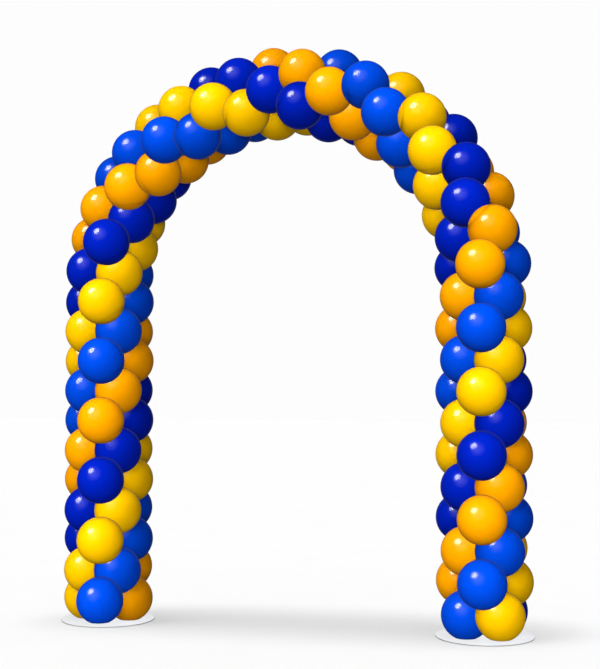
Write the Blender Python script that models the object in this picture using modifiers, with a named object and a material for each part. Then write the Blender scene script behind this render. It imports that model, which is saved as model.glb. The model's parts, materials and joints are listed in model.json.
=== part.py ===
"""Spiral balloon arch on its pole frame.

Clusters of four latex balloons are threaded on an arched pole that stands in two round base plates.
Each cluster is turned an eighth of a turn against the one below, so that each colour climbs the arch as
a spiral. A balloon is a sphere, pressed flat where it meets a balloon of the next cluster, the pole or
the base plate. Metres, +Z up, the front faces -Y, and the origin is on the floor midway between the legs.
"""

import math

import bmesh
import bpy
from mathutils import Matrix, Vector

# Driving dimensions
BALLOON_DIAMETER = 0.230
BALLOONS_IN_CLUSTER = 4
CLUSTER_COUNT = 42
CLUSTER_TURN = math.radians(45)
RING_RADIUS = 0.1117  # from the pole's axis to the middle of a balloon
LEG_SPACING = 1.869  # between the axes of the two legs, so also the diameter of the half circle on top
STRAIGHT_LENGTH = 1.551  # from the middle of the lowest cluster up to the half circle
POLE_DIAMETER = 0.025
PLATE_DIAMETER = 0.460
PLATE_THICKNESS = 0.006
PLATE_CHAMFER = 0.0015
SOCKET_HEIGHT = 0.034
SOCKET_WALL = 0.004
PRESSED_HEIGHT = 0.1035  # from the plate's top to the middle of the lowest cluster
GAP = 0.0003  # between neighbouring pieces

# Facets and mesh tolerances
BALLOON_SEGMENTS = 8
BALLOON_RINGS = 5
POLE_SIDES = 8
PLATE_SIDES = 32
CUT_TOLERANCE = 1e-7
WELD_DISTANCE = 0.00002

# Worked out from the dimensions above
BALLOON_RADIUS = BALLOON_DIAMETER / 2
POLE_RADIUS = POLE_DIAMETER / 2
ARCH_RADIUS = LEG_SPACING / 2
FIRST_HEIGHT = PLATE_THICKNESS + PRESSED_HEIGHT
SPRING_HEIGHT = FIRST_HEIGHT + STRAIGHT_LENGTH
CLUSTER_PITCH = (2 * STRAIGHT_LENGTH + math.pi * ARCH_RADIUS) / (CLUSTER_COUNT - 1)
CHANNEL_HALF_LENGTH = math.sqrt(BALLOON_RADIUS**2 - (RING_RADIUS - POLE_RADIUS) ** 2)
ARCH_CENTRE = Vector((0, 0, SPRING_HEIGHT))
BACK = Vector((0, 1, 0))

# Colours of the balloons in the order in which they sit round a cluster, from the front outwards
LATEX_COLOURS = {
    "latex_royal_blue": (0.0, 0.078, 0.86),
    "latex_yellow": (1.0, 0.75, 0.0),
    "latex_navy_blue": (0.0, 0.006, 0.39),
    "latex_orange": (1.0, 0.36, 0.0),
}


def clear_scene():
    """Remove every object that the file opens with."""
    for obj in list(bpy.data.objects):
        bpy.data.objects.remove(obj, do_unlink=True)


def make_collection(name):
    """A new collection in the scene."""
    collection = bpy.data.collections.new(name)
    bpy.context.scene.collection.children.link(collection)
    return collection


def make_material(name, colour, roughness, metallic=0.0):
    """A Principled material of one colour."""
    material = bpy.data.materials.new(name)
    material.use_nodes = True
    shader = material.node_tree.nodes["Principled BSDF"]
    shader.inputs["Base Color"].default_value = (*colour, 1.0)
    shader.inputs["Roughness"].default_value = roughness
    shader.inputs["Metallic"].default_value = metallic
    material.diffuse_color = (*colour, 1.0)
    return material


def cluster_bend(index):
    """How far the pole has bent over at a cluster: nothing on the left leg, half a turn on the right."""
    bend = (index * CLUSTER_PITCH - STRAIGHT_LENGTH) / ARCH_RADIUS
    return min(max(bend, 0.0), math.pi)


def spoke(bend):
    """The direction from the middle of the half circle to the pole."""
    return Vector((-math.cos(bend), 0, math.sin(bend)))


def cluster_frame(index):
    """The frame of a cluster at its middle on the pole's axis.

    Its X points away from the passage, its Y to the back and its Z along the pole.
    """
    bend = cluster_bend(index)
    along = Vector((math.sin(bend), 0, math.cos(bend)))
    up_the_straight = index * CLUSTER_PITCH - STRAIGHT_LENGTH - bend * ARCH_RADIUS
    frame = Matrix((spoke(bend), BACK, along)).transposed().to_4x4()
    frame.translation = ARCH_CENTRE + spoke(bend) * ARCH_RADIUS + along * up_the_straight
    return frame


def bend_to_next(index):
    """How far the pole bends between a cluster and the next."""
    return cluster_bend(index + 1) - cluster_bend(index)


def pole_corner(index):
    """The point between a cluster and the next where the pole bends: there their axes meet."""
    half_bend = bend_to_next(index) / 2
    return ARCH_CENTRE + spoke(cluster_bend(index) + half_bend) * (ARCH_RADIUS / math.cos(half_bend))


def channel_half_width(index):
    """Half the width of the pole's way through a cluster, wider where the pole bends inside it."""
    clearance = GAP
    middle = cluster_frame(index).translation
    for corner in (index - 1, index):
        if 0 <= corner < CLUSTER_COUNT - 1:
            beyond_corner = CHANNEL_HALF_LENGTH - (pole_corner(corner) - middle).length
            clearance = max(clearance, GAP + beyond_corner * math.sin(bend_to_next(corner)))
    return POLE_RADIUS + clearance


def balloon_direction(index, place):
    """The direction from the pole's axis to a balloon, in its cluster's frame.

    The balloons' places are counted from the front of the lowest cluster towards the outside of the arch.
    """
    angle = place * math.tau / BALLOONS_IN_CLUSTER - index * CLUSTER_TURN
    return Vector((math.sin(angle), -math.cos(angle), 0))


def neighbour_centres(index):
    """The middles of the balloons in the clusters next to this one, in this cluster's frame."""
    to_local = cluster_frame(index).inverted()
    centres = []
    for other in (index - 1, index + 1):
        if 0 <= other < CLUSTER_COUNT:
            to_here = to_local @ cluster_frame(other)
            for place in range(BALLOONS_IN_CLUSTER):
                centres.append(to_here @ (balloon_direction(other, place) * RING_RADIUS))
    return centres


def cut_away(balloon, point, normal, pressed):
    """Cut off what lies beyond a plane, and close the cut where the balloon is pressed flat."""
    geometry = balloon.verts[:] + balloon.edges[:] + balloon.faces[:]
    cut = bmesh.ops.bisect_plane(balloon, geom=geometry, dist=CUT_TOLERANCE, plane_co=point,
                                 plane_no=normal, clear_outer=True)
    edges = [item for item in cut["geom_cut"] if isinstance(item, bmesh.types.BMEdge)]
    if edges and pressed:
        bmesh.ops.edgeloop_fill(balloon, edges=edges)


def make_balloon(index, place, neighbours):
    """One balloon as a mesh in its cluster's frame, left open where it joins the next one round the pole.

    The gap to a neighbour widens a little as the two move apart: that keeps the cuts of two joined
    balloons on one line, so their open edges meet.
    """
    direction = balloon_direction(index, place)
    centre = direction * RING_RADIUS
    along = Vector((0, 0, 1))
    turn = Matrix((along, direction.cross(along), direction)).transposed().to_4x4()

    balloon = bmesh.new()
    bmesh.ops.create_uvsphere(balloon, u_segments=BALLOON_SEGMENTS, v_segments=BALLOON_RINGS,
                              radius=BALLOON_RADIUS, matrix=Matrix.Translation(centre) @ turn)
    for other in neighbours:
        towards = other - centre
        if towards.length < BALLOON_DIAMETER:
            share = 0.5 - GAP * BALLOON_DIAMETER / (2 * towards.length_squared)
            cut_away(balloon, centre + towards * share, towards, pressed=True)
    cut_away(balloon, direction * channel_half_width(index), -direction, pressed=True)
    if index in (0, CLUSTER_COUNT - 1):
        down = along if index else -along
        cut_away(balloon, down * (PRESSED_HEIGHT - GAP), down, pressed=True)
    for side in (-1, 1):
        joined = balloon_direction(index, place + side)
        cut_away(balloon, Vector((0, 0, 0)), joined - direction, pressed=False)
    for face in balloon.faces:
        face.material_index = place
    mesh = bpy.data.meshes.new("balloon")
    balloon.to_mesh(mesh)
    balloon.free()
    return mesh


def make_cluster(index, parts, latex):
    """A cluster of four balloons, tied neck to neck round the pole, as one body."""
    neighbours = neighbour_centres(index)
    cluster = bmesh.new()
    for place in range(BALLOONS_IN_CLUSTER):
        balloon = make_balloon(index, place, neighbours)
        cluster.from_mesh(balloon)
        bpy.data.meshes.remove(balloon)
    bmesh.ops.remove_doubles(cluster, verts=cluster.verts, dist=WELD_DISTANCE)
    bmesh.ops.recalc_face_normals(cluster, faces=cluster.faces)
    mesh = bpy.data.meshes.new(f"cluster_{index + 1:02d}")
    cluster.to_mesh(mesh)
    cluster.free()
    for material in latex:
        mesh.materials.append(material)
    obj = bpy.data.objects.new(mesh.name, mesh)
    obj.matrix_world = cluster_frame(index)
    parts.objects.link(obj)


def make_pole(parts, material):
    """The arched pole, straight inside each cluster and bent between two of them."""
    foot = PLATE_THICKNESS + GAP
    points = [Vector((-ARCH_RADIUS, 0, foot))]
    points += [pole_corner(index) for index in range(CLUSTER_COUNT - 1) if bend_to_next(index) > 0]
    points.append(Vector((ARCH_RADIUS, 0, foot)))

    curve = bpy.data.curves.new("pole", "CURVE")
    curve.dimensions = "3D"
    curve.bevel_depth = POLE_RADIUS
    curve.bevel_resolution = POLE_SIDES // 2 - 2
    curve.use_fill_caps = True
    curve.materials.append(material)
    spline = curve.splines.new("POLY")
    spline.points.add(len(points) - 1)
    for target, point in zip(spline.points, points):
        target.co = (*point, 1)
    pole = bpy.data.objects.new("pole", curve)
    parts.objects.link(pole)
    return pole


def make_plate(name, x, parts, material):
    """A round base plate, turned with an upright socket in its middle for the pole's end."""
    bore = (POLE_RADIUS + GAP) / math.cos(math.pi / PLATE_SIDES)
    socket = bore + SOCKET_WALL
    rim = PLATE_DIAMETER / 2
    profile = [
        (0, PLATE_THICKNESS),
        (bore, PLATE_THICKNESS),
        (bore, SOCKET_HEIGHT),
        (socket, SOCKET_HEIGHT),
        (socket, PLATE_THICKNESS),
        (rim - PLATE_CHAMFER, PLATE_THICKNESS),
        (rim, PLATE_THICKNESS - PLATE_CHAMFER),
        (rim, 0),
        (0, 0),
    ]
    mesh = bpy.data.meshes.new(name)
    mesh.from_pydata([(radius, 0, height) for radius, height in profile],
                     [(i, i + 1) for i in range(len(profile) - 1)], [])
    mesh.materials.append(material)
    plate = bpy.data.objects.new(name, mesh)
    plate.location = (x, 0, 0)
    screw = plate.modifiers.new("turned", "SCREW")
    screw.steps = PLATE_SIDES
    screw.render_steps = PLATE_SIDES
    screw.use_merge_vertices = True
    screw.merge_threshold = 0.00005
    parts.objects.link(plate)
    return plate


clear_scene()
arch_parts = make_collection("balloon_arch")
balloon_latex = [make_material(name, colour, 0.3) for name, colour in LATEX_COLOURS.items()]
pole_plastic = make_material("pole_plastic", (0.8, 0.8, 0.8), 0.45)
plate_plastic = make_material("plate_plastic", (0.87, 0.88, 0.9), 0.35)

for cluster_index in range(CLUSTER_COUNT):
    make_cluster(cluster_index, arch_parts, balloon_latex)
make_pole(arch_parts, pole_plastic)
make_plate("base_plate_left", -ARCH_RADIUS, arch_parts, plate_plastic)
make_plate("base_plate_right", ARCH_RADIUS, arch_parts, plate_plastic)
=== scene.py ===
import json
import math

import bmesh
import bpy
import numpy as np
from mathutils import Matrix, Vector

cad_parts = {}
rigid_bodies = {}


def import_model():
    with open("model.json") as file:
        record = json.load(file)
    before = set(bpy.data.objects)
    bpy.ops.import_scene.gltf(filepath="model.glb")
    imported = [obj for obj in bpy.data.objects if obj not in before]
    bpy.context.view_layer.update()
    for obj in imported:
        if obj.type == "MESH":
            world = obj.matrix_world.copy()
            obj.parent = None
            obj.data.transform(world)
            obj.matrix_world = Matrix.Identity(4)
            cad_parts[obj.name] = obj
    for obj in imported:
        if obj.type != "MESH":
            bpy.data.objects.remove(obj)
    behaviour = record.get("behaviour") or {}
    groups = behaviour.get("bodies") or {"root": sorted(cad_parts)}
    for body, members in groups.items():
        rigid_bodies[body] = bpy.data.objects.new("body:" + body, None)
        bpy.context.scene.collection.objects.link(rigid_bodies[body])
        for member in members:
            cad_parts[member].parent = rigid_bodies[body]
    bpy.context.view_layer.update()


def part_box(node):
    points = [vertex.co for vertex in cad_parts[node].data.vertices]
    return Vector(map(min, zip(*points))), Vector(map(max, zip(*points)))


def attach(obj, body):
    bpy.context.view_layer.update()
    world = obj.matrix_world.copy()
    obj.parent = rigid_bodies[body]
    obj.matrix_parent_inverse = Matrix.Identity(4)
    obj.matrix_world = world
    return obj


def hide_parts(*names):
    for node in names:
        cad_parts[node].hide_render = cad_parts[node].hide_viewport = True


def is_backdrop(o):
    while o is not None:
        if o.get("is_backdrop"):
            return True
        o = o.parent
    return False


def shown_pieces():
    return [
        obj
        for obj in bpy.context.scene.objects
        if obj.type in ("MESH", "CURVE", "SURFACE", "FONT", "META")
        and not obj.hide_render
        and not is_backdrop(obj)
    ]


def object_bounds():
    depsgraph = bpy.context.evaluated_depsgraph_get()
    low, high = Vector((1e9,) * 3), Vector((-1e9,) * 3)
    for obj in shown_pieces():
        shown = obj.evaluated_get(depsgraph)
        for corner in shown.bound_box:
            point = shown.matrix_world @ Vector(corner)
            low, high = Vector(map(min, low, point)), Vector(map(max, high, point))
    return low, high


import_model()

# ---------------------------------------------------------------------------------------------
# Base plates
# Two flat round plates of white ABS, moulded with an upright socket in the middle that takes the
# pole's end. The weight of the arch holds each one down, and its lowest balloons rest on it.
# ---------------------------------------------------------------------------------------------
PLATE_RADIUS = 0.230
PLATE_THICKNESS = 0.006
PLATE_EDGE_ROUNDING = 0.0022
PLATE_FOOT_BEVEL = 0.0008
PLATE_SIDES = 160
SOCKET_BORE_RADIUS = 0.0129
SOCKET_RADIUS = 0.0169
SOCKET_HEIGHT = 0.034
SOCKET_FILLET = 0.005
SOCKET_LIP = 0.001
ROUNDING_STEPS = 6
SHARP_EDGE = math.radians(40)
ON_AXIS = 1e-6


def linear(hex_colour):
    """An sRGB hex colour as linear red, green, blue and full alpha."""
    channels = [int(hex_colour[i:i + 2], 16) / 255 for i in (1, 3, 5)]
    return [c / 12.92 if c <= 0.04045 else ((c + 0.055) / 1.055) ** 2.4 for c in channels] + [1.0]


def new_material(name):
    """A node material with no nodes in it yet."""
    material = bpy.data.materials.new(name)
    material.use_nodes = True
    material.node_tree.nodes.clear()
    return material


def add_node(tree, kind, settings=None, **links):
    """Add a node with its settings and links.

    A setting names a property or an input, or is an input's number. A link is Input_Name=socket, or
    _0=socket for an input's number.
    """
    node = tree.nodes.new(kind)
    for name, value in (settings or {}).items():
        if isinstance(name, str) and hasattr(node, name):
            setattr(node, name, value)
        else:
            node.inputs[name].default_value = value
    for name, socket in links.items():
        key = int(name[1:]) if name[0] == "_" else name.replace("_", " ")
        tree.links.new(node.inputs[key], socket)
    return node


def ramp_between(node, low, low_colour, high, high_colour):
    """Set a two-stop colour ramp."""
    stops = node.color_ramp.elements
    stops[0].position, stops[0].color = low, low_colour
    stops[1].position, stops[1].color = high, high_colour


def arc(centre, radius, start, end):
    """Points on part of a circle in the turning profile, as (distance from the axis, height)."""
    angles = [math.radians(start + (end - start) * i / ROUNDING_STEPS) for i in range(ROUNDING_STEPS + 1)]
    return [(centre[0] + radius * math.cos(a), centre[1] + radius * math.sin(a)) for a in angles]


def turned(name, profile, x):
    """A closed solid turned from a profile round an upright axis at x."""
    shape = bmesh.new()
    rings = []
    for radius, height in profile:
        if radius < ON_AXIS:
            rings.append([shape.verts.new((0, 0, height))])
            continue
        rings.append([
            shape.verts.new((radius * math.cos(math.tau * i / PLATE_SIDES),
                             radius * math.sin(math.tau * i / PLATE_SIDES), height))
            for i in range(PLATE_SIDES)
        ])
    for inner, outer in zip(rings, rings[1:]):
        for i in range(PLATE_SIDES):
            j = (i + 1) % PLATE_SIDES
            corners = [inner[i % len(inner)], outer[i % len(outer)],
                       outer[j % len(outer)], inner[j % len(inner)]]
            shape.faces.new(list(dict.fromkeys(corners)))
    bmesh.ops.recalc_face_normals(shape, faces=shape.faces)
    mesh = bpy.data.meshes.new(name)
    shape.to_mesh(mesh)
    shape.free()
    mesh.shade_smooth()
    mesh.set_sharp_from_angle(angle=SHARP_EDGE)
    piece = bpy.data.objects.new(name, mesh)
    piece.location = (x, 0, 0)
    bpy.context.scene.collection.objects.link(piece)
    return piece


# White ABS, injection moulded: a hard plastic, even and satin, that gives a soft grey sheen at its
# edge. The mould's fine spark texture, about 0.4 mm, is drawn at 2 mm so that it shows at all.
plate_abs = new_material("white_abs_moulded")
tree = plate_abs.node_tree
place = add_node(tree, "ShaderNodeTexCoord")
scuffs = add_node(tree, "ShaderNodeTexNoise", {"Scale": 9.0, "Detail": 5.0, "Roughness": 0.6},
                  Vector=place.outputs["Object"])
spark = add_node(tree, "ShaderNodeTexNoise", {"Scale": 500.0, "Detail": 2.0},
                 Vector=place.outputs["Object"])
white = add_node(tree, "ShaderNodeValToRGB", Fac=scuffs.outputs["Fac"])
ramp_between(white, 0.30, linear("#ECEEF1"), 0.70, linear("#F7F8FA"))
satin = add_node(tree, "ShaderNodeMapRange", {"To Min": 0.30, "To Max": 0.42},
                 Value=scuffs.outputs["Fac"])
grain = add_node(tree, "ShaderNodeBump", {"Strength": 0.05, "Distance": 0.0004},
                 Height=spark.outputs["Fac"])
abs_shader = add_node(tree, "ShaderNodeBsdfPrincipled", {"IOR": 1.53},
                      Base_Color=white.outputs["Color"], Roughness=satin.outputs["Result"],
                      Normal=grain.outputs["Normal"])
add_node(tree, "ShaderNodeOutputMaterial", Surface=abs_shader.outputs["BSDF"])

plate_profile = [(0, PLATE_THICKNESS), (SOCKET_BORE_RADIUS, PLATE_THICKNESS)]
plate_profile += [(SOCKET_BORE_RADIUS, SOCKET_HEIGHT - SOCKET_LIP),
                  (SOCKET_BORE_RADIUS + SOCKET_LIP, SOCKET_HEIGHT)]
plate_profile += [(SOCKET_RADIUS - SOCKET_LIP, SOCKET_HEIGHT), (SOCKET_RADIUS, SOCKET_HEIGHT - SOCKET_LIP)]
plate_profile += arc((SOCKET_RADIUS + SOCKET_FILLET, PLATE_THICKNESS + SOCKET_FILLET),
                     SOCKET_FILLET, 180, 270)
plate_profile += arc((PLATE_RADIUS - PLATE_EDGE_ROUNDING, PLATE_THICKNESS - PLATE_EDGE_ROUNDING),
                     PLATE_EDGE_ROUNDING, 90, 0)
plate_profile += [(PLATE_RADIUS, PLATE_FOOT_BEVEL), (PLATE_RADIUS - PLATE_FOOT_BEVEL, 0), (0, 0)]

for side in ("left", "right"):
    node = f"base_plate_{side}"
    low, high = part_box(node)
    plate = turned(f"plate_{side}", plate_profile, (low.x + high.x) / 2)
    plate.data.materials.append(plate_abs)
    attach(plate, "root")
    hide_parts(node)
    plate.visible_glossy = False
    plate.visible_diffuse = False

# ---------------------------------------------------------------------------------------------
# Pole
# One bent tube of white PVC, 25 mm across, from one plate's socket up, over and down to the other.
# The clusters are threaded on it neck to neck, so they hide all of it.
# ---------------------------------------------------------------------------------------------
POLE_RADIUS = 0.0125
POLE_SIDES = 24
ARCH_RADIUS = 0.9345
SPRING_HEIGHT = 1.6605
POLE_BEND_STEPS = 72
POLE_FOOT_GAP = 0.0003
POLE_FOOT = PLATE_THICKNESS + POLE_FOOT_GAP


def bent_tube(name, points, radius, sides):
    """A closed round tube along points that all lie in the arch's upright plane."""
    shape = bmesh.new()
    rings = []
    for before, point, after in zip([points[0]] + points[:-1], points, points[1:] + [points[-1]]):
        along = (after - before).normalized()
        outward = along.cross(Vector((0, 1, 0)))
        rings.append([
            shape.verts.new(point + radius * (math.cos(math.tau * i / sides) * outward
                                              + math.sin(math.tau * i / sides) * Vector((0, 1, 0))))
            for i in range(sides)
        ])
    for ring, following in zip(rings, rings[1:]):
        for i in range(sides):
            j = (i + 1) % sides
            shape.faces.new((ring[i], ring[j], following[j], following[i]))
    shape.faces.new(rings[0])
    shape.faces.new(rings[-1])
    bmesh.ops.recalc_face_normals(shape, faces=shape.faces)
    mesh = bpy.data.meshes.new(name)
    shape.to_mesh(mesh)
    shape.free()
    mesh.shade_smooth()
    mesh.set_sharp_from_angle(angle=SHARP_EDGE)
    piece = bpy.data.objects.new(name, mesh)
    bpy.context.scene.collection.objects.link(piece)
    return piece


# White PVC, extruded: slightly creamy and satin, faintly clouded and a little uneven in its sheen.
pole_pvc = new_material("white_pvc_extruded")
tree = pole_pvc.node_tree
place = add_node(tree, "ShaderNodeTexCoord")
cloud = add_node(tree, "ShaderNodeTexNoise", {"Scale": 6.0, "Detail": 4.0},
                 Vector=place.outputs["Object"])
cream = add_node(tree, "ShaderNodeValToRGB", Fac=cloud.outputs["Fac"])
ramp_between(cream, 0.30, linear("#E4E4E0"), 0.70, linear("#EFEFEC"))
wear = add_node(tree, "ShaderNodeMapRange", {"To Min": 0.38, "To Max": 0.52},
                Value=cloud.outputs["Fac"])
pvc_shader = add_node(tree, "ShaderNodeBsdfPrincipled", {"IOR": 1.53},
                      Base_Color=cream.outputs["Color"], Roughness=wear.outputs["Result"])
add_node(tree, "ShaderNodeOutputMaterial", Surface=pvc_shader.outputs["BSDF"])

pole_route = [Vector((-ARCH_RADIUS, 0, POLE_FOOT))]
for step in range(POLE_BEND_STEPS + 1):
    bend = math.pi * step / POLE_BEND_STEPS
    pole_route.append(Vector((-ARCH_RADIUS * math.cos(bend), 0,
                              SPRING_HEIGHT + ARCH_RADIUS * math.sin(bend))))
pole_route.append(Vector((ARCH_RADIUS, 0, POLE_FOOT)))
pole = bent_tube("arch_pole", pole_route, POLE_RADIUS, POLE_SIDES)
pole.data.materials.append(pole_pvc)
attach(pole, "root")
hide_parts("pole")
pole.visible_glossy = False
pole.visible_diffuse = False

# ---------------------------------------------------------------------------------------------
# Balloons
# Round latex balloons, dipped and air-filled to 230 mm, tied in fours round the pole. Each four is
# turned an eighth of a turn on from the one below, so a colour climbs the arch as a spiral. They are
# packed closer than their size: on the front and on the back, the nearer keeps its round and the one
# behind it gives way.
# ---------------------------------------------------------------------------------------------
BALLOON_RADIUS = 0.115
BALLOONS_IN_CLUSTER = 4
CLUSTER_COUNT = 42
CLUSTER_TURN = math.radians(45)
RING_RADIUS = 0.1117
STRAIGHT_LENGTH = 1.551
CLUSTER_PITCH = (2 * STRAIGHT_LENGTH + math.pi * ARCH_RADIUS) / (CLUSTER_COUNT - 1)
POLE_CLEARANCE = 0.0035
PLATE_CLEARANCE = 0.0003
SKIN_GAP = 0.0005
FRONT_SIDE = Vector((1.523, -6.123, 1.202))  # where the front is faced from, and its mirror behind
BACK_SIDE = Vector((-1.523, 6.123, 1.202))
FRONT_TO_BACK = Vector((-0.2338, 0.9717, 0.0335)).normalized()
SKIN_FINENESS = 5
EVEN_UP_TO = 2.5  # radians from the crown: the triangles within them are drawn closer, up to DRAWN_UP_TO
DRAWN_UP_TO = 2.0
NECK_COLOUR_BELOW = -0.06
CROWN_COLOUR_ABOVE = 0.05
REACH_STEPS = 48
SNAP_STEPS = 7
CREASE_ANGLE = math.radians(38)


def cluster_frame(index):
    """Where a cluster sits: X away from the passage, Y to the back, Z along the pole."""
    bend = min(max((index * CLUSTER_PITCH - STRAIGHT_LENGTH) / ARCH_RADIUS, 0.0), math.pi)
    spoke = Vector((-math.cos(bend), 0, math.sin(bend)))
    along = Vector((math.sin(bend), 0, math.cos(bend)))
    up_the_straight = index * CLUSTER_PITCH - STRAIGHT_LENGTH - bend * ARCH_RADIUS
    seat = Matrix((spoke, Vector((0, 1, 0)), along)).transposed().to_4x4()
    seat.translation = Vector((0, 0, SPRING_HEIGHT)) + spoke * ARCH_RADIUS + along * up_the_straight
    return seat


def balloon_frame(index, place):
    """Where a balloon sits: Z from its neck at the pole out to its crown, Y along the pole."""
    angle = place * math.tau / BALLOONS_IN_CLUSTER - index * CLUSTER_TURN
    crown = Vector((math.sin(angle), -math.cos(angle), 0))
    along = Vector((0, 0, 1))
    seat = Matrix((along.cross(crown), along, crown)).transposed().to_4x4()
    seat.translation = crown * RING_RADIUS
    return cluster_frame(index) @ seat


def round_skin():
    """A ball of small triangles, finer at the crown's side than at the hidden neck's."""
    shape = bmesh.new()
    bmesh.ops.create_icosphere(shape, subdivisions=SKIN_FINENESS, radius=1.0)
    for vert in shape.verts:
        off_crown = vert.co.angle(Vector((0, 0, 1)))
        drawn_up = np.interp(off_crown, [0, EVEN_UP_TO, math.pi], [0, DRAWN_UP_TO, math.pi])
        flat = Vector((vert.co.x, vert.co.y, 0))
        if flat.length > ON_AXIS:
            vert.co = flat.normalized() * math.sin(drawn_up) + Vector((0, 0, math.cos(drawn_up)))
    mesh = bpy.data.meshes.new("round_skin")
    shape.to_mesh(mesh)
    shape.free()
    mesh.shade_smooth()
    return mesh


def room_left(points, dents, flats):
    """How far each point is from the round skin, from each dent and from each flat.

    A dent is a neighbour's round, drawn back from it as a narrowing cone. A flat is a plane.
    """
    left = [BALLOON_RADIUS - np.linalg.norm(points, axis=1)]
    for middle, outward, taper in dents:
        beyond = points - middle
        forward = np.clip(beyond @ outward, 0, None)
        beyond -= forward[:, None] * outward
        left.append(np.linalg.norm(beyond, axis=1) - BALLOON_RADIUS * (1 - forward * taper) - SKIN_GAP)
    for height, outward in flats:
        left.append(height - points @ outward)
    return np.array(left)


def reach(rays, dents, flats):
    """How far out the skin lies along each ray, and what it lies against there."""
    distance = np.zeros(len(rays))
    for _ in range(REACH_STEPS):
        left = room_left(rays * distance[:, None], dents, flats)
        distance += left.min(axis=0)
    return distance, left.argmin(axis=0)


def on_creases(rays, edges, dents, flats):
    """Shift the rays nearest to a crease on to it, so that the mesh has an edge along the crease."""
    against = reach(rays, dents, flats)[1]
    crossing = edges[against[edges[:, 0]] != against[edges[:, 1]]]
    if not len(crossing):
        return rays
    near, far = np.zeros(len(crossing)), np.ones(len(crossing))
    start, end = rays[crossing[:, 0]], rays[crossing[:, 1]]
    for _ in range(SNAP_STEPS):
        share = (near + far) / 2
        middle = start + (end - start) * share[:, None]
        middle /= np.linalg.norm(middle, axis=1)[:, None]
        same = reach(middle, dents, flats)[1] == against[crossing[:, 0]]
        near, far = np.where(same, share, near), np.where(same, far, share)
    moved, least = rays.copy(), np.full(len(rays), 1.0)
    for (a, b), share, ray in zip(crossing, (near + far) / 2, middle):
        corner, shift = (a, share) if share < 0.5 else (b, 1 - share)
        if shift < least[corner]:
            least[corner], moved[corner] = shift, ray
    return moved


frames = {(index, place): balloon_frame(index, place)
          for index in range(CLUSTER_COUNT) for place in range(BALLOONS_IN_CLUSTER)}


def rank(key):
    """Lower comes first: the front balloons from the nearest, then the back ones from the furthest."""
    middle = frames[key].translation
    off_pole = (middle - cluster_frame(key[0]).translation).dot(FRONT_TO_BACK)
    depth = middle.dot(FRONT_TO_BACK)
    return (0, depth) if off_pole < 0 else (1, -depth)


def balloon_mesh(key, template, rays, edges):
    """One balloon's skin in its own frame, dented by the neighbours that come before it."""
    to_local = frames[key].inverted()
    turn = to_local.to_3x3()
    dents = []
    for other, seat in frames.items():
        apart = (seat.translation - frames[key].translation).length
        if other != key and apart < 2 * BALLOON_RADIUS and rank(other) < rank(key):
            way_out = (FRONT_SIDE if rank(other)[0] == 0 else BACK_SIDE) - seat.translation
            outward = turn @ way_out.normalized()
            dents.append((np.array(to_local @ seat.translation), np.array(outward), 1 / way_out.length))
    flats = [(RING_RADIUS - POLE_RADIUS - POLE_CLEARANCE, np.array((0.0, 0.0, -1.0)))]
    above_plate = frames[key].translation.z - PLATE_THICKNESS - PLATE_CLEARANCE
    if above_plate < BALLOON_RADIUS:
        flats.append((above_plate, np.array(turn @ Vector((0, 0, -1)))))
    rays = on_creases(rays, edges, dents, flats)
    distance = reach(rays, dents, flats)[0]
    mesh = template.copy()
    mesh.vertices.foreach_set("co", (rays * distance[:, None]).astype(np.float32).ravel())
    mesh.update()
    mesh.set_sharp_from_angle(angle=CREASE_ANGLE)
    return mesh


def latex(name, crown_colour, neck_colour):
    """Natural rubber latex, dyed through and dipped, blown up tight.

    The thin stretched skin is smooth and glossy and gives one clear highlight. It is thickest, so
    deepest in colour, by the neck, and its faint clouding comes from the uneven stretch. The dusting
    of powder it is packed with, grains under 0.1 mm, is drawn at 3 mm and only dulls the gloss a little.
    """
    material = new_material(name)
    tree = material.node_tree
    place = add_node(tree, "ShaderNodeTexCoord")
    height = add_node(tree, "ShaderNodeSeparateXYZ", Vector=place.outputs["Object"])
    stretch = add_node(tree, "ShaderNodeMapRange",
                       {"From Min": NECK_COLOUR_BELOW, "From Max": CROWN_COLOUR_ABOVE},
                       Value=height.outputs["Z"])
    cloud = add_node(tree, "ShaderNodeTexNoise", {"Scale": 22.0, "Detail": 3.0, "Roughness": 0.5},
                     Vector=place.outputs["Object"])
    uneven = add_node(tree, "ShaderNodeMapRange", {"To Min": -0.10, "To Max": 0.10},
                      Value=cloud.outputs["Fac"])
    thinness = add_node(tree, "ShaderNodeMath", {"operation": "ADD", "use_clamp": True},
                        _0=stretch.outputs["Result"], _1=uneven.outputs["Result"])
    dye = add_node(tree, "ShaderNodeValToRGB", Fac=thinness.outputs["Value"])
    ramp_between(dye, 0.0, linear(neck_colour), 1.0, linear(crown_colour))
    powder = add_node(tree, "ShaderNodeTexNoise", {"Scale": 330.0, "Detail": 2.0},
                      Vector=place.outputs["Object"])
    gloss = add_node(tree, "ShaderNodeMapRange", {"To Min": 0.15, "To Max": 0.18},
                     Value=powder.outputs["Fac"])
    shader = add_node(tree, "ShaderNodeBsdfPrincipled", {"IOR": 1.52},
                      Base_Color=dye.outputs["Color"], Roughness=gloss.outputs["Result"])
    add_node(tree, "ShaderNodeOutputMaterial", Surface=shader.outputs["BSDF"])
    return material


# In the order in which they sit round a cluster: the colour's name, and its latex
colours = [
    ("royal_blue", latex("latex_dipped_royal_blue", "#0047D6", "#0041C6")),
    ("yellow", latex("latex_dipped_yellow", "#FFC300", "#F6B600")),
    ("navy_blue", latex("latex_dipped_navy_blue", "#001EB0", "#00199E")),
    ("orange", latex("latex_dipped_orange", "#FFA400", "#F69600")),
]

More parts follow.
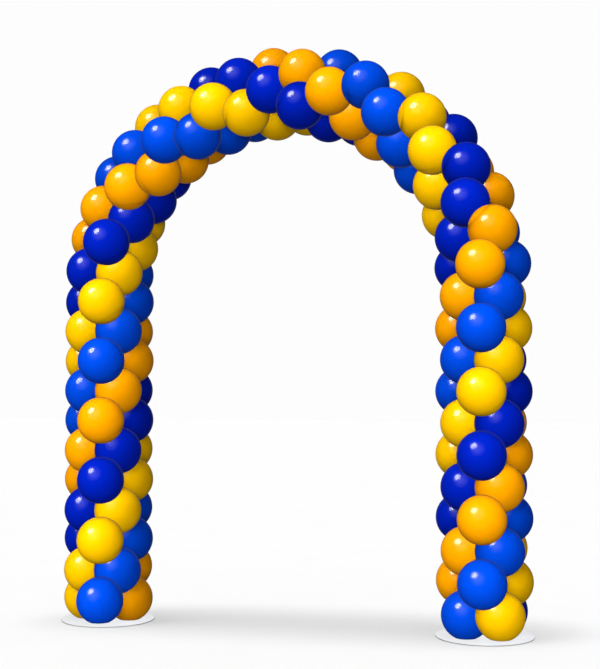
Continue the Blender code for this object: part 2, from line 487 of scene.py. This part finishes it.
skin = round_skin()
skin_rays = np.empty(len(skin.vertices) * 3, np.float32)
skin.vertices.foreach_get("co", skin_rays)
skin_rays = skin_rays.reshape(-1, 3).astype(float)
skin_edges = np.empty(len(skin.edges) * 2, np.int32)
skin.edges.foreach_get("vertices", skin_edges)
skin_edges = skin_edges.reshape(-1, 2)

for (index, place_number), seat in frames.items():
    colour, material = colours[place_number]
    balloon = bpy.data.objects.new(f"balloon_{index + 1:02d}_{colour}",
                                   balloon_mesh((index, place_number), skin, skin_rays, skin_edges))
    balloon.matrix_world = seat
    balloon.data.materials.append(material)
    bpy.context.scene.collection.objects.link(balloon)
    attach(balloon, "root")
    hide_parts(f"cluster_{index + 1:02d}")
    balloon.visible_glossy = False
    balloon.visible_diffuse = False

# ---------------------------------------------------------------------------------------------
# Floor
# A plain studio floor with white matt paint rolled on, even but for what the roller left. It takes the
# arch's soft shadow and isn't part of the arch.
# ---------------------------------------------------------------------------------------------
FLOOR_HALF_SIZE = 30.0

floor_paint = new_material("white_studio_paint_rolled")
tree = floor_paint.node_tree
place = add_node(tree, "ShaderNodeTexCoord")
roller = add_node(tree, "ShaderNodeTexNoise", {"Scale": 3.0, "Detail": 2.0},
                  Vector=place.outputs["Object"])
paint = add_node(tree, "ShaderNodeValToRGB", Fac=roller.outputs["Fac"])
ramp_between(paint, 0.3, linear("#F7F7F7"), 0.7, linear("#F8F8F8"))
floor_shader = add_node(tree, "ShaderNodeBsdfDiffuse", Color=paint.outputs["Color"])
add_node(tree, "ShaderNodeOutputMaterial", Surface=floor_shader.outputs["BSDF"])
mesh = bpy.data.meshes.new("studio_floor")
corners = [(-FLOOR_HALF_SIZE, -FLOOR_HALF_SIZE, 0), (FLOOR_HALF_SIZE, -FLOOR_HALF_SIZE, 0),
           (FLOOR_HALF_SIZE, FLOOR_HALF_SIZE, 0), (-FLOOR_HALF_SIZE, FLOOR_HALF_SIZE, 0)]
mesh.from_pydata(corners, [], [(0, 1, 2, 3)])
mesh.materials.append(floor_paint)
floor = bpy.data.objects.new("studio_floor", mesh)
floor.visible_glossy = False
floor.visible_diffuse = False
bpy.context.scene.collection.objects.link(floor)
floor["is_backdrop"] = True

# ---------------------------------------------------------------------------------------------
# Light
# Big soft boxes, mostly to the upper left of the front, and weaker ones elsewhere. The front rows of
# balloons, the plates and the floor have lamps of their own. Round black flags inside the balloons throw
# their shadows, so that the folds don't fill with black; the gloss has smaller ones, so that none is cut.
# ---------------------------------------------------------------------------------------------
FLAG_FINENESS = 3
FLAG_RADIUS = 0.108
SMALL_FLAG_RADIUS = 0.085
CAMERA_TURN = math.radians(13.53)
CAMERA_PITCH = math.radians(1.92)
camera_axes = (Matrix.Rotation(CAMERA_TURN, 3, "Z")
               @ Matrix.Rotation(math.pi / 2 + CAMERA_PITCH, 3, "X"))

# Black woven cloth, seen by light on its outer face only, so that a balloon that reaches inside a
# neighbour's flag isn't darkened by it.
flag_cloth = new_material("black_flag_cloth_woven")
tree = flag_cloth.node_tree
facing = add_node(tree, "ShaderNodeNewGeometry")
black = add_node(tree, "ShaderNodeBsdfDiffuse", {"Color": (0.0, 0.0, 0.0, 1.0)})
clear = add_node(tree, "ShaderNodeBsdfTransparent")
one_sided = add_node(tree, "ShaderNodeMixShader", _0=facing.outputs["Backfacing"],
                     _1=black.outputs["BSDF"], _2=clear.outputs["BSDF"])
add_node(tree, "ShaderNodeOutputMaterial", Surface=one_sided.outputs["Shader"])


def add_flags(name, radius):
    """Round flags in the middle of every balloon, unseen themselves, as a collection that blocks light."""
    shape = bmesh.new()
    for seat in frames.values():
        bmesh.ops.create_icosphere(shape, subdivisions=FLAG_FINENESS, radius=radius,
                                   matrix=Matrix.Translation(seat.translation))
    mesh = bpy.data.meshes.new(name)
    shape.to_mesh(mesh)
    shape.free()
    mesh.materials.append(flag_cloth)
    flags = bpy.data.objects.new(name, mesh)
    flags.visible_camera = False
    flags.visible_diffuse = False
    flags.visible_glossy = False
    bpy.context.scene.collection.objects.link(flags)
    flags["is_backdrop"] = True
    blockers = bpy.data.collections.new(name)
    blockers.objects.link(flags)
    return blockers


flags_only = add_flags("flags", FLAG_RADIUS)
small_flags_only = add_flags("small_flags", SMALL_FLAG_RADIUS)
arch_only = bpy.data.collections.new("lit_arch")
plates_only = bpy.data.collections.new("lit_plates")
floor_only = bpy.data.collections.new("lit_floor")
every_piece = bpy.data.collections.new("every_piece")
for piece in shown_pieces():
    group = plates_only if piece.name.startswith("plate_") else arch_only
    group.objects.link(piece)
    every_piece.objects.link(piece)
floor_only.objects.link(floor)


def add_sun(name, towards, strength, spread, gloss=False, receivers=arch_only, blockers=flags_only,
            from_camera=True):
    """A soft lamp far away, in the direction that its light comes from.

    The direction is in the front camera's axes (right, up, towards it) or in the floor's. The lamp gives
    either gloss or plain light, and without blockers it throws no shadow.
    """
    lamp = bpy.data.lights.new(name, "SUN")
    lamp.energy = strength
    lamp.angle = math.radians(spread)
    lamp.use_shadow = blockers is not None
    lamp.cycles.use_multiple_importance_sampling = gloss
    obj = bpy.data.objects.new(name, lamp)
    direction = Vector(towards).normalized()
    if from_camera:
        direction = camera_axes @ direction
    obj.rotation_mode = "QUATERNION"
    obj.rotation_quaternion = direction.to_track_quat("Z", "Y")
    obj.visible_glossy = gloss
    obj.visible_diffuse = not gloss
    bpy.context.scene.collection.objects.link(obj)
    obj.light_linking.receiver_collection = receivers
    if blockers:
        obj.light_linking.blocker_collection = blockers


# The balloons that face straight to the front, and these with the ones an eighth of a turn beside them
front_row = bpy.data.collections.new("front_row")
front_rows = bpy.data.collections.new("front_rows")
for (index, place_number) in frames:
    balloon = bpy.data.objects[f"balloon_{index + 1:02d}_{colours[place_number][0]}"]
    eighths_from_front = (2 * place_number - index) % 8
    if eighths_from_front == 0:
        front_row.objects.link(balloon)
    if eighths_from_front in (7, 0, 1):
        front_rows.objects.link(balloon)

add_sun("key", (-0.49, 0.77, 0.41), 2.10, 40)
add_sun("left", (-0.79, 0.20, 0.57), 1.40, 40)
add_sun("right", (0.38, 0.42, 0.82), 1.04, 40)
add_sun("top", (0.0, 0.75, 0.65), 0.30, 40)
add_sun("low", (0.10, -0.88, 0.40), 0.80, 40)
add_sun("front_of_row", (0.04, 0.38, 0.92), 0.85, 30, receivers=front_row)
add_sun("front_of_rows", (0.06, 0.0, 1.0), 0.62, 30, receivers=front_rows)
add_sun("top_of_rows", (0.0, 0.95, 0.30), 0.45, 30, receivers=front_rows, blockers=None)
add_sun("back", (0.0, 0.12, -0.99), 4.0, 30)
add_sun("highlight", (-0.60, 0.72, 0.36), 2.1, 25, gloss=True, blockers=small_flags_only)
add_sun("glow", (-0.42, 0.58, 0.70), 0.19, 34, gloss=True, blockers=small_flags_only)
add_sun("wide_glow", (-0.42, 0.58, 0.70), 0.36, 62, gloss=True, blockers=small_flags_only)
for name, towards, strength, spread, receivers, blockers in (
    ("plates_even", (0.08, -0.38, 0.92), 3.70, 0, plates_only, None),
    ("plates_round", (0.0, 0.0, 1.0), 0.45, 80, plates_only, every_piece),
    ("floor_even", (0.0, 0.0, 1.0), 1.74, 0, floor_only, None),
    ("floor_overhead", (-0.08, -0.05, 1.0), 0.58, 15, floor_only, every_piece),
    ("floor_right", (0.08, 0.05, 1.0), 0.31, 9, floor_only, every_piece),
    ("floor_left", (-0.16, -0.10, 1.0), 0.33, 9, floor_only, every_piece),
    ("floor_round", (0.0, 0.0, 1.0), 0.34, 80, floor_only, every_piece),
):
    add_sun(name, towards, strength, spread, receivers=receivers, blockers=blockers, from_camera=False)

# A near-white backdrop. What the gloss mirrors is nearly dark, and a little lighter behind the arch.
world = bpy.data.worlds.new("studio")
bpy.context.scene.world = world
world.use_nodes = True
tree = world.node_tree
tree.nodes.clear()
path = add_node(tree, "ShaderNodeLightPath")
backdrop = add_node(tree, "ShaderNodeBackground", {"Color": (1.0, 1.0, 1.0, 1.0), "Strength": 0.985})
direction = add_node(tree, "ShaderNodeTexCoord")
to_the_back = add_node(tree, "ShaderNodeVectorMath", {"operation": "DOT_PRODUCT", 1: FRONT_TO_BACK},
                       _0=direction.outputs["Generated"])
glimmer = add_node(tree, "ShaderNodeMapRange",
                   {"interpolation_type": "SMOOTHSTEP", "From Min": 0.70, "From Max": 0.98,
                    "To Min": 0.01, "To Max": 0.06}, Value=to_the_back.outputs["Value"])
room = add_node(tree, "ShaderNodeBackground", {"Color": (1.0, 1.0, 1.0, 1.0)},
                Strength=glimmer.outputs["Result"])
seen = add_node(tree, "ShaderNodeMixShader", _0=path.outputs["Is Camera Ray"],
                _1=room.outputs["Background"], _2=backdrop.outputs["Background"])
add_node(tree, "ShaderNodeOutputWorld", Surface=seen.outputs["Shader"])
bpy.context.scene.view_settings.view_transform = "Standard"

# ---------------------------------------------------------------------------------------------
# Camera
# A fairly long lens, 6.3 m from the middle of the arch and to its right, 1.2 m above the floor. It looks
# across the front and a little upwards.
# ---------------------------------------------------------------------------------------------
lens = bpy.data.cameras.new("camera")
lens.lens = 69.9
lens.sensor_width = 36.0
camera = bpy.data.objects.new("camera", lens)
camera.location = FRONT_SIDE
camera.rotation_euler = (math.pi / 2 + CAMERA_PITCH, 0, CAMERA_TURN)
bpy.context.scene.collection.objects.link(camera)
bpy.context.scene.camera = camera

low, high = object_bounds()
